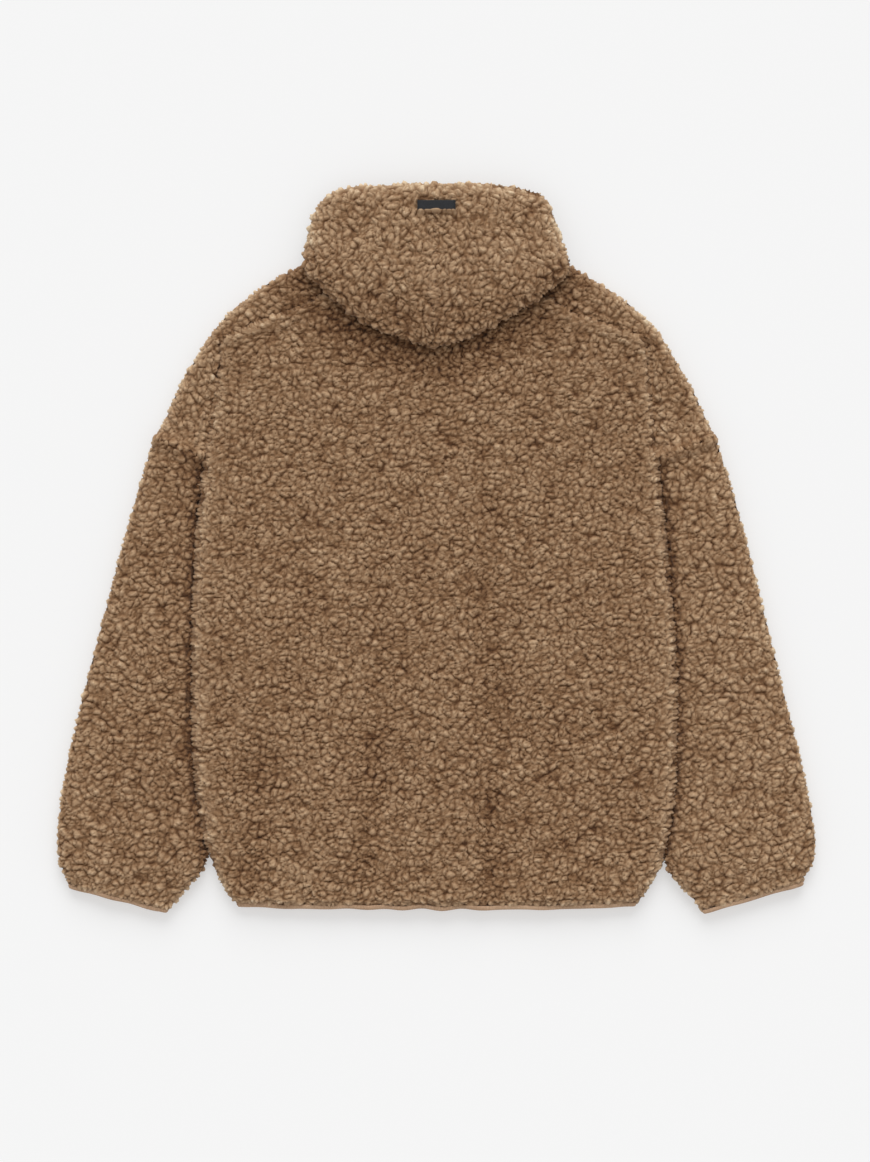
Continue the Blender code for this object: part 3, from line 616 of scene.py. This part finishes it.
def raise_pile(shape, node, shift, tone, hold, pile, level, seed):
    """Pulls the net down between the tufts. Returns what the material reads at each point."""
    coarse, slim, rise, lie, stretch = pile
    size = coarse * MM
    points, normals = points_and_normals(shape)

    def wandered(p):
        x = waves(p, WANDER_LENGTH * size, ROUND, seed + 7)
        y = waves(p, WANDER_LENGTH * size, ROUND, seed + 8)
        return p + WANDER * size * np.stack([x, y, np.zeros(len(p))], 1)

    places, facing = tuft_places(shape, TUFT_DISTANCE * size)
    combed = nearness(places, COMBED_BESIDE.get(node, ()), COMBED_REACH)[0]
    tufts, strand, tint = tuft_height(wandered(points), normals, wandered(places), facing, combed,
                                      TUFT_DISTANCE * size, slim, lie, seed)
    cluster = waves(points, CLUSTER * size, ROUND, seed + 3)
    strength = np.clip(USUAL_STRENGTH + CLUSTER_STRENGTH * cluster, *STRENGTH_LIMITS)
    long = np.exp(-np.abs(waves(points, LONG_CREVICE * size, stretch, seed)) / CREVICE_WIDTH)
    short = np.exp(-np.abs(waves(points, SHORT_CREVICE * size, stretch, seed + 1)) / CREVICE_WIDTH)
    fine = np.exp(-np.abs(waves(points, FINE_CREVICE * size, ROUND, seed + 2)) / FINE_WIDTH)
    parted = (1 - LONG_DEPTH * long * strength) * (1 - SHORT_DEPTH * short) * (1 - FINE_DEPTH * fine)
    height = parted * (1 - TUFT_SHARE + TUFT_SHARE * tufts)
    edge = 1.0 - np.abs(normals[:, 2])
    outwards = (height - level + EDGE_LEVEL * edge) * rise * MM * (1 + EDGE_RISE * edge)
    moved = points + shift + normals * (outwards * (1 - hold))[:, None]
    moved[:, 2] = np.maximum(moved[:, 2], LOWEST)
    for vert, place in zip(shape.verts, moved):
        vert.co = place
    tone = tone + TINT_PALER * tint + CLUSTER_PALER * cluster
    return {"tip": height, "tone": tone, "strand": strand}


# %% [markdown]
# ## Material: curled polyester pile
#
# Polyester pile, brushed and curled in heat, then dyed tan. Each fibre is a fine matt thread, so the
# tufts have no gloss, only a soft sheen where they turn away. The tips are a little paler from rubbing, and
# light that gets into a crevice comes out browner; both are painted into the colour, which runs from a warm
# dark brown at the root, painted shade in the crevices, to a greyed tan at the tip, partly a painted
# highlight. The net stored three things for this: the height, a tone that makes some tufts paler or darker
# at random and carries painted light and shade at edges, seams and folds, and the place on the tuft in
# millimetres, along which fine streaks run like combed fibre.

# %% Pile material
STREAKS = (0.20, 0.95, 1.0)
PATCH = 45 * MM
FIBRE_SHARE, PATCH_SHARE = 0.46, 0.12
LEVEL_SCALE, LEVEL_SHIFT = 0.8, -0.184
FIBRE_BUMP = 1.1 * MM


def pile_material():
    """Curled polyester: painted shade makes it browner in the crevices, paler at the tips partly as a painted
    highlight, streaked along each tuft.
    """
    material = bpy.data.materials.new("curled_polyester_pile")
    material.use_nodes = True
    tree = material.node_tree
    shader = tree.nodes["Principled BSDF"]
    tip = add_node(tree, "ShaderNodeAttribute", {"attribute_name": "tip"})
    tone = add_node(tree, "ShaderNodeAttribute", {"attribute_name": "tone"})
    strand = add_node(tree, "ShaderNodeAttribute", {"attribute_name": "strand"})
    combed = add_node(tree, "ShaderNodeVectorMath", {"operation": "MULTIPLY"}, {
        0: strand.outputs["Vector"], 1: STREAKS})
    fibres = add_node(tree, "ShaderNodeTexNoise", {}, {
        "Vector": combed.outputs["Vector"], "Scale": 1.0, "Detail": 3.0, "Roughness": 0.6,
        "Distortion": 0.4})
    place = add_node(tree, "ShaderNodeTexCoord")
    patches = add_node(tree, "ShaderNodeTexNoise", {}, {
        "Vector": place.outputs["Object"], "Scale": 1 / PATCH, "Detail": 2.0})
    level = add_node(tree, "ShaderNodeMath", {"operation": "ADD"}, {
        0: tip.outputs["Fac"], 1: tone.outputs["Fac"]})
    level = add_node(tree, "ShaderNodeMath", {"operation": "MULTIPLY_ADD"}, {
        0: fibres.outputs["Fac"], 1: FIBRE_SHARE, 2: level.outputs[0]})
    level = add_node(tree, "ShaderNodeMath", {"operation": "MULTIPLY_ADD"}, {
        0: patches.outputs["Fac"], 1: PATCH_SHARE, 2: level.outputs[0]})
    level = add_node(tree, "ShaderNodeMath", {"operation": "MULTIPLY_ADD"}, {
        0: level.outputs[0], 1: LEVEL_SCALE, 2: LEVEL_SHIFT})
    # the ramp paints shade into the crevices as dark brown, and a highlight at the tips as pale tan, partly
    # their rubbed paleness
    ramp = add_node(tree, "ShaderNodeValToRGB", {}, {"Fac": level.outputs[0]})
    stops = ramp.color_ramp
    stops.elements[0].position = 0.08
    stops.elements[0].color = linear("#2c190b")
    stops.elements[1].position = 1.0
    stops.elements[1].color = linear("#d6bf9f")
    for position, colour in ((0.288, "#5f3f26"), (0.48, "#866547"), (0.80, "#b59676")):
        stops.elements.new(position).color = linear(colour)
    tree.links.new(ramp.outputs["Color"], shader.inputs["Base Color"])
    fibre_bump = add_node(tree, "ShaderNodeBump", {}, {
        "Strength": 0.7, "Distance": FIBRE_BUMP, "Height": fibres.outputs["Fac"]})
    tree.links.new(fibre_bump.outputs["Normal"], shader.inputs["Normal"])
    shader.inputs["Roughness"].default_value = 0.95
    shader.inputs["Specular IOR Level"].default_value = 0.12
    shader.inputs["Sheen Weight"].default_value = 0.08
    shader.inputs["Sheen Roughness"].default_value = 0.6
    return material


PILE = pile_material()
print("the streaks of the", PILE.name, "are about", round(1 / STREAKS[1], 1), "mm wide")

# %% [markdown]
# ## Material: knitted ground
#
# Under the pile is a plain knit that holds the tufts. It is a flat brown without gloss, with faint soft
# bands, and it only shows at the bottom of a deep parting.

# %% Ground material
WAVE_RADIANS = 20
GROUND_BANDS = 1000 / 1.6 / WAVE_RADIANS


def ground_material():
    """Plain knitted polyester: matt, a flat brown with faint bands about 10 mm apart."""
    material = bpy.data.materials.new("knitted_ground")
    material.use_nodes = True
    tree = material.node_tree
    shader = tree.nodes["Principled BSDF"]
    place = add_node(tree, "ShaderNodeTexCoord")
    stitch = add_node(tree, "ShaderNodeTexWave", {"bands_direction": "Y"}, {
        "Vector": place.outputs["Object"], "Scale": GROUND_BANDS, "Distortion": 2.0, "Detail": 2.0})
    ramp = add_node(tree, "ShaderNodeValToRGB", {}, {"Fac": stitch.outputs["Fac"]})
    ramp.color_ramp.elements[0].color = linear("#4d3420")
    ramp.color_ramp.elements[1].color = linear("#6b4c31")
    tree.links.new(ramp.outputs["Color"], shader.inputs["Base Color"])
    shader.inputs["Roughness"].default_value = 0.95
    return material


GROUND = ground_material()
BAND_DISTANCE = 2 * math.pi / WAVE_RADIANS / GROUND_BANDS / MM
print("the bands of the", GROUND.name, "are", round(BAND_DISTANCE), "mm apart")

# %% [markdown]
# ## Growing the pile on every cloth piece
#
# The back was combed across, so its tufts and crevices lie mostly sideways. On the sleeves they are a
# little larger, and on the hood they are as large but slimmer and lie every way. The back would have more
# triangles than one mesh should, so it is cut in three along lines of points, and the parts keep the
# shading of the whole.

# %% The pile of each piece
FINE_SQUARE = 1.3 * MM
COARSE_SQUARE = 4.5 * MM
SQUARES = {"back": 1.36 * MM, "front": 2.2 * MM}
TIP_LEVEL = 0.80
PRESSED, PRESSED_LEVEL = 0.32, 1.0
BACK_CUTS = (-160 * MM, 50 * MM)
PILE_KINDS = {
    # coarseness and slimness against the back, height in mm, spread of the lie in radians, and how much
    # closer the crevices are along x and y
    "back": (1.0, 1.0, 6.2, 0.7, (0.75, 1.2)),
    "front": (1.0, 1.0, 6.0, 0.7, (0.75, 1.2)),
    "shoulder_left": (1.1, 1.0, 6.2, 0.9, (0.85, 1.1)),
    "shoulder_right": (1.1, 1.0, 6.2, 0.9, (0.85, 1.1)),
    "sleeve_left": (1.12, 1.0, 6.4, 0.8, (0.8, 1.2)),
    "sleeve_right": (1.12, 1.0, 6.4, 0.8, (0.8, 1.2)),
    "hood_left": (1.12, 1.22, 6.6, 1.4, (1.0, 1.0)),
    "hood_right": (1.12, 1.22, 6.6, 1.4, (1.0, 1.0)),
    "hood_fold": (1.12, 1.22, 5.0, 1.4, (1.0, 1.0)),
}
# how much paler each piece is than the back
PALER = {"back": 0.035, "front": 0.035, "shoulder_left": 0.06, "shoulder_right": 0.06, "sleeve_left": 0.03,
         "sleeve_right": 0.08, "hood_left": 0.10, "hood_right": 0.10, "hood_fold": 0.05}
RESTS = ("front", "sleeve_left", "sleeve_right", "shoulder_left", "shoulder_right", "hood_fold")
LAYERS = {"tip": "FLOAT", "tone": "FLOAT", "strand": "FLOAT_VECTOR"}
# how far the thin rim stands out, and the painted sheen on the thin rim and where it turns under
RIM_OUT, PAINTED_RIM_SHEEN, PAINTED_HELD_SHEEN = 1.8 * MM, 0.06, 0.25
HELD_SLOPE = 2
DRAWN_IN = {"hood_fold": 2.8 * MM}
SEED_STEP, UNDER_SEED = 10, 5
print(len(PILE_KINDS), "pieces carry pile, from", min(kind[2] for kind in PILE_KINDS.values()), "mm high")

# %% [markdown]
# ## Making and attaching a piece
#
# Each finished piece is attached to the body that it rides on, and the imported piece that it stands for
# is hidden. The values that the material reads are stored on its points.

# %% Store, declare and cut


def store(mesh, layer, kind, values):
    """Stores one value for each point of a mesh."""
    field = "vector" if kind == "FLOAT_VECTOR" else "value"
    mesh.attributes.new(layer, kind, "POINT").data.foreach_set(field, np.ravel(values))


def declare(piece, node):
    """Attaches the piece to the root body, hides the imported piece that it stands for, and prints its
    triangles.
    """
    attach(piece, "root")
    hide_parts(node)
    print(piece.name, sum(len(face.vertices) - 2 for face in piece.data.polygons), "triangles")
    return piece


def pile_piece(name, shape, stored):
    """Makes the object and stores what the material reads."""
    piece = finished(name, shape, PILE)
    for layer, kind in LAYERS.items():
        store(piece.data, layer, kind, stored[layer])
    return piece


def cut_across(piece, heights):
    """Parts a piece along its net into strips up the body, which keep the shading of the whole."""
    way = np.zeros(len(piece.data.vertices) * 3)
    piece.data.vertex_normals.foreach_get("vector", way)
    store(piece.data, "way", "FLOAT_VECTOR", way)
    strips = []
    for number, (low, high) in enumerate(zip((-math.inf,) + heights, heights + (math.inf,))):
        shape = bmesh.new()
        shape.from_mesh(piece.data)
        spare = [f for f in shape.faces if not low < f.calc_center_median().y <= high]
        bmesh.ops.delete(shape, geom=spare, context="FACES")
        strip = finished(piece.name + "_" + str(number + 1), shape, PILE)
        ways = np.zeros(len(strip.data.vertices) * 3)
        strip.data.attributes["way"].data.foreach_get("vector", ways)
        strip.data.normals_split_custom_set_from_vertices(ways.reshape(-1, 3))
        strip.data.attributes.remove(strip.data.attributes["way"])
        strips.append(strip)
    remove_helper(piece)
    return strips


# %% [markdown]
# ## Pile on the cloth
#
# The upper side and the edges of a piece get a fine net and the full pile, moved by its seams, its thin
# rim, the tab and the soft folds. What rests on the table gets a coarse net and the same pile, pressed
# flat.

# %% Pile on the cloth
def full_pile(node, kind, seed):
    """The upper side and the edges of a piece, in the full height of their pile."""
    square = SQUARES.get(node, FINE_SQUARE)
    shape = fine_net(node, square)
    cut_hidden(shape, node, square, False)
    points, normals = points_and_normals(shape)
    shift, tone = joined(points, normals, node)
    thin = thin_rim(points, normals, node)
    hold = thin * np.clip(-HELD_SLOPE * normals[:, 2], 0, 1)
    shift += normals * (tab_shift(points) + RIM_OUT * (thin - hold))[:, None]
    # each piece's own paleness, with painted sheen on the thin rim and where it turns under
    tone += PALER[node] + PAINTED_RIM_SHEEN * thin + PAINTED_HELD_SHEEN * hold
    shift -= normals * (DRAWN_IN.get(node, 0.0) * (1 - normals[:, 2] ** 2))[:, None]
    if node in ("back", "front"):
        deep, painted_fold_shade = troughs(points)
        shift[:, 2] -= deep
        # painted shade in the soft folds
        tone -= painted_fold_shade
    stored = raise_pile(shape, node, shift, tone, hold, kind, TIP_LEVEL, seed)
    return pile_piece(node + "_pile", shape, stored)


def pressed_pile(node, kind, seed):
    """What rests on the table, with its pile pressed flat."""
    shape = fine_net(node, COARSE_SQUARE)
    cut_hidden(shape, node, COARSE_SQUARE, True)
    coarse, slim, rise, lie, stretch = kind
    pressed = (coarse, slim, rise * PRESSED, lie, stretch)
    still = np.zeros((len(shape.verts), 1))
    stored = raise_pile(shape, node, still, still[:, 0], still[:, 0], pressed, PRESSED_LEVEL, seed)
    return pile_piece(node + "_underside", shape, stored)


for number, (node, kind) in enumerate(PILE_KINDS.items()):
    made = [full_pile(node, kind, SEED_STEP * number)]
    if node == "back":
        made = cut_across(made[0], BACK_CUTS)
    if node in RESTS:
        made.append(pressed_pile(node, kind, SEED_STEP * number + UNDER_SEED))
    [declare(piece, node) for piece in made]

# %% [markdown]
# ## The knitted ground under the pile
#
# The ground is the sheet that was really cut and sewn, and it is what shows at the bottom of a deep
# parting. It is the imported piece drawn in by the height of the pile, which leaves a cloth about 1.6 mm
# thick, and it is closed all round. A table lists the size that each ground was cut to, and each ground is
# attached to the root body, as its pile is.

# %% Knit the grounds
GROUND_DEPTH = 5.2 * MM
STEEPEST_CORNER = 1.3
TOP_SHARE, UNDER_SHARE = 0.58, 0.24
HOOD_NARROWER = 0.92
NOTHING_MET = 1.0
CUTS = {
    # width and length of the flat cut in metres, its area in square metres, and how it lies
    "front": ((0.520, 0.660), 0.325, "laid"),
    "back": ((0.520, 0.660), 0.328, "laid"),
    "shoulder_left": ((0.200, 0.225), 0.0195, "folded"),
    "shoulder_right": ((0.200, 0.225), 0.0195, "folded"),
    "sleeve_left": ((0.330, 0.510), 0.118, "laid"),
    "sleeve_right": ((0.330, 0.510), 0.118, "laid"),
    "hood_left": ((0.150, 0.180), 0.0215, "folded"),
    "hood_right": ((0.150, 0.180), 0.0215, "folded"),
}


def knitted_ground(node):
    """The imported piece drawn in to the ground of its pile, and at the thin hood narrowed as well."""
    shape = merged_copy(node)
    shape.normal_update()
    own = surface_tree([node])
    low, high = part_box(node)
    middle = (low + high) / 2
    narrower = HOOD_NARROWER if node in HOOD else 1.0
    moves = []
    for vert in shape.verts:
        through = own.ray_cast(vert.co - vert.normal * RAY_STEP, -vert.normal)[3] or NOTHING_MET
        share = TOP_SHARE if vert.normal.z > 0 else UNDER_SHARE
        depth = min(GROUND_DEPTH * min(vert.calc_shell_factor(), STEEPEST_CORNER), share * through)
        moves.append(vert.normal * -depth)
    for vert, move in zip(shape.verts, moves):
        x, y, z = vert.co + move
        vert.co = (middle.x + (x - middle.x) * narrower, middle.y + (y - middle.y) * narrower, z)
    return finished(node + "_ground", shape, GROUND)


for node, (flat, area, held) in CUTS.items():
    ground = declare(knitted_ground(node), node)

# %% [markdown]
# ## Elastic bindings
#
# The hem and the sleeve ends are bound with a narrow knitted elastic, folded over the raw edge and sewn.
# It is smooth beside the pile, with fine ribs across it, and it draws in a little between the stitches,
# so its edge wanders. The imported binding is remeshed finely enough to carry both.

# %% Elastic material
RIB = 1.6
BINDING_SQUARE = 1.0 * MM
BINDING_WAVE = 42 * MM
BINDING_WANDER = 0.5 * MM
BINDING_SEED = 200
RIB_RELIEF = 0.12 * MM
YARN, WORN_PATCH = 1.4 * MM, 30 * MM
RIB_SHADE, WORN_SHADE = 0.12, 0.6


def elastic_material():
    """Knitted polyester and rubber: matt, paler than the pile, with a rib every 1.6 mm."""
    material = bpy.data.materials.new("knitted_elastic")
    material.use_nodes = True
    tree = material.node_tree
    shader = tree.nodes["Principled BSDF"]
    run = add_node(tree, "ShaderNodeAttribute", {"attribute_name": "run"})
    rib = add_node(tree, "ShaderNodeMath", {"operation": "MULTIPLY"}, {
        0: run.outputs["Fac"], 1: 2 * math.pi / RIB})
    rib = add_node(tree, "ShaderNodeMath", {"operation": "SINE"}, {0: rib.outputs[0]})
    place = add_node(tree, "ShaderNodeTexCoord")
    yarn = add_node(tree, "ShaderNodeTexNoise", {}, {
        "Vector": place.outputs["Object"], "Scale": 1 / YARN, "Detail": 3.0})
    worn = add_node(tree, "ShaderNodeTexNoise", {}, {
        "Vector": place.outputs["Object"], "Scale": 1 / WORN_PATCH, "Detail": 2.0})
    relief = add_node(tree, "ShaderNodeMath", {"operation": "MULTIPLY_ADD"}, {
        0: rib.outputs[0], 1: RIB_SHADE, 2: yarn.outputs["Fac"]})
    shade = add_node(tree, "ShaderNodeMath", {"operation": "MULTIPLY_ADD"}, {
        0: worn.outputs["Fac"], 1: WORN_SHADE, 2: relief.outputs[0]})
    ramp = add_node(tree, "ShaderNodeValToRGB", {}, {"Fac": shade.outputs[0]})
    ramp.color_ramp.elements[0].position = 0.5
    ramp.color_ramp.elements[0].color = linear("#94745a")
    ramp.color_ramp.elements[1].position = 1.0
    ramp.color_ramp.elements[1].color = linear("#b99a7e")
    tree.links.new(ramp.outputs["Color"], shader.inputs["Base Color"])
    bump = add_node(tree, "ShaderNodeBump", {}, {
        "Strength": 0.4, "Distance": 0.4 * MM, "Height": relief.outputs[0]})
    tree.links.new(bump.outputs["Normal"], shader.inputs["Normal"])
    shader.inputs["Roughness"].default_value = 0.85
    shader.inputs["Specular IOR Level"].default_value = 0.2
    shader.inputs["Sheen Weight"].default_value = 0.1
    return material


ELASTIC = elastic_material()
print("the", ELASTIC.name, "has a rib every", RIB, "mm")

# %% [markdown]
# ## Knitting the bindings
#
# The ribs are counted along the longest direction of each binding, and three random waves move its edge.

# %% Knit the bindings
def binding(node, seed):
    """A finely meshed copy of a packed binding, with ribs and a wandering edge."""
    shape = fine_net(node, BINDING_SQUARE)
    points, normals = points_and_normals(shape)
    middle = points.mean(axis=0)
    along = np.linalg.svd(points - middle, full_matrices=False)[2][0]
    run = (points - middle) @ along
    wander = np.stack([waves(points, BINDING_WAVE, ROUND, seed + part) for part in range(3)], 1)
    wander -= (wander @ along)[:, None] * along
    ribs = np.sin(2 * math.pi * run / (RIB * MM))
    moved = points + wander * BINDING_WANDER + normals * (ribs * RIB_RELIEF)[:, None]
    moved[:, 2] = np.maximum(moved[:, 2], 0)
    for vert, place in zip(shape.verts, moved):
        vert.co = place
    piece = finished(node + "_knit", shape, ELASTIC)
    store(piece.data, "run", "FLOAT", run / MM)
    return declare(piece, node)


for number, node in enumerate(("hem_binding", "cuff_binding_left", "cuff_binding_right")):
    binding(node, BINDING_SEED + SEED_STEP * number)

# %% [markdown]
# ## The tab
#
# A charcoal tab of plain woven ribbon is sewn flat near the rim of the hood, and it is left bare. Its
# ribs run across the ribbon, 0.9 mm apart, and its ends are turned under, where the colour is painted a
# little darker as the shade of the fold.

# %% Woven tab
TAB_SQUARE = 0.4 * MM
TAB_RIB = 0.9
TAB_RELIEF = 0.08 * MM
THREAD = 1.2 * MM
TURNED_FROM, TURNED_WITHIN, PAINTED_END_SHADE = 0.86, 0.06, 0.3


def woven_material():
    """Tightly woven polyester ribbon: dark, with a dull sheen over its ribs."""
    material = bpy.data.materials.new("woven_ribbon")
    material.use_nodes = True
    tree = material.node_tree
    shader = tree.nodes["Principled BSDF"]
    place = add_node(tree, "ShaderNodeTexCoord")
    rib = add_node(tree, "ShaderNodeTexWave", {"bands_direction": "X"}, {
        "Vector": place.outputs["Object"], "Scale": 2 * math.pi / (WAVE_RADIANS * TAB_RIB * MM),
        "Distortion": 0.6, "Detail": 1.0})
    thread = add_node(tree, "ShaderNodeTexNoise", {}, {
        "Vector": place.outputs["Object"], "Scale": 1 / THREAD, "Detail": 3.0})
    turned = add_node(tree, "ShaderNodeAttribute", {"attribute_name": "turned"})
    shade = add_node(tree, "ShaderNodeMath", {"operation": "MULTIPLY_ADD"}, {
        0: rib.outputs["Fac"], 1: 0.35, 2: thread.outputs["Fac"]})
    # painted shade at the turned-under ends
    shade = add_node(tree, "ShaderNodeMath", {"operation": "SUBTRACT"}, {
        0: shade.outputs[0], 1: turned.outputs["Fac"]})
    ramp = add_node(tree, "ShaderNodeValToRGB", {}, {"Fac": shade.outputs[0]})
    ramp.color_ramp.elements[0].position = 0.1
    ramp.color_ramp.elements[0].color = linear("#0b0c0e")
    ramp.color_ramp.elements[1].color = linear("#26282c")
    tree.links.new(ramp.outputs["Color"], shader.inputs["Base Color"])
    bump = add_node(tree, "ShaderNodeBump", {}, {
        "Strength": 0.5, "Distance": 0.3 * MM, "Height": shade.outputs[0]})
    tree.links.new(bump.outputs["Normal"], shader.inputs["Normal"])
    shader.inputs["Roughness"].default_value = 0.7
    shader.inputs["Specular IOR Level"].default_value = 0.3
    shader.inputs["Sheen Weight"].default_value = 0.1
    return material


shape = fine_net("hood_tab", TAB_SQUARE)
points, normals = points_and_normals(shape)
ribs = np.sin(2 * math.pi * points[:, 0] / (TAB_RIB * MM))
for vert, place in zip(shape.verts, points + normals * (ribs * TAB_RELIEF)[:, None]):
    vert.co = place
low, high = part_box("hood_tab")
tab = finished("hood_tab_woven", shape, woven_material())
ends = np.abs(points[:, 0] - (low.x + high.x) / 2) / ((high.x - low.x) / 2)
# painted shade towards each turned-under end
turned = PAINTED_END_SHADE * np.clip((ends - TURNED_FROM) / TURNED_WITHIN, 0, 1)
store(tab.data, "turned", "FLOAT", turned)
declare(tab, "hood_tab")
